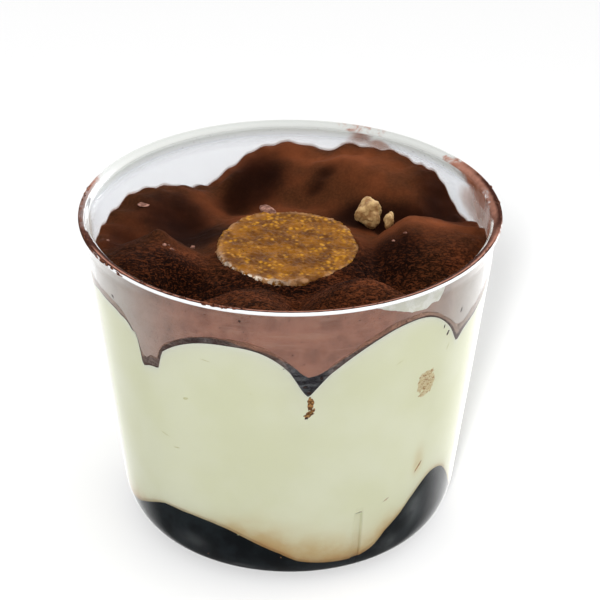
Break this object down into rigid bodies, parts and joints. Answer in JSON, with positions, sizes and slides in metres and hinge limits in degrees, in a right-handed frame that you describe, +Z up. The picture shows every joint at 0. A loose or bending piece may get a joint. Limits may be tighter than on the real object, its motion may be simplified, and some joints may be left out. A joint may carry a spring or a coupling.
{
  "type": "tiramisu in a clear cup",
  "caption": "Clear tapered dessert cup with a rounded lip, filled with a dark coffee-soaked layer and cream, dusted with cocoa and topped with a round biscuit and nut chips.",
  "frame": {"origin": "middle of the cup's underside, on the surface that it stands on", "axes": "+Z up along the cup's axis, -Y towards the front of the dessert, +X to its right"},
  "size_m": [0.09, 0.09, 0.0722],
  "materials": {
    "clear_plastic": "clear glossy plastic",
    "coffee_sponge": "wet dark coffee-soaked sponge",
    "cream": "smooth pale mascarpone cream",
    "cocoa": "dry cocoa powder",
    "biscuit": "golden grainy biscuit",
    "nut": "matt broken nut"
  },
  "bodies": {
    "root": {"cup": "clear_plastic", "coffee_layer": "coffee_sponge", "cream": "cream", "cocoa": "cocoa", "biscuit": "biscuit", "nut_large": "nut", "nut_small": "nut"}
  },
  "joints": []
}
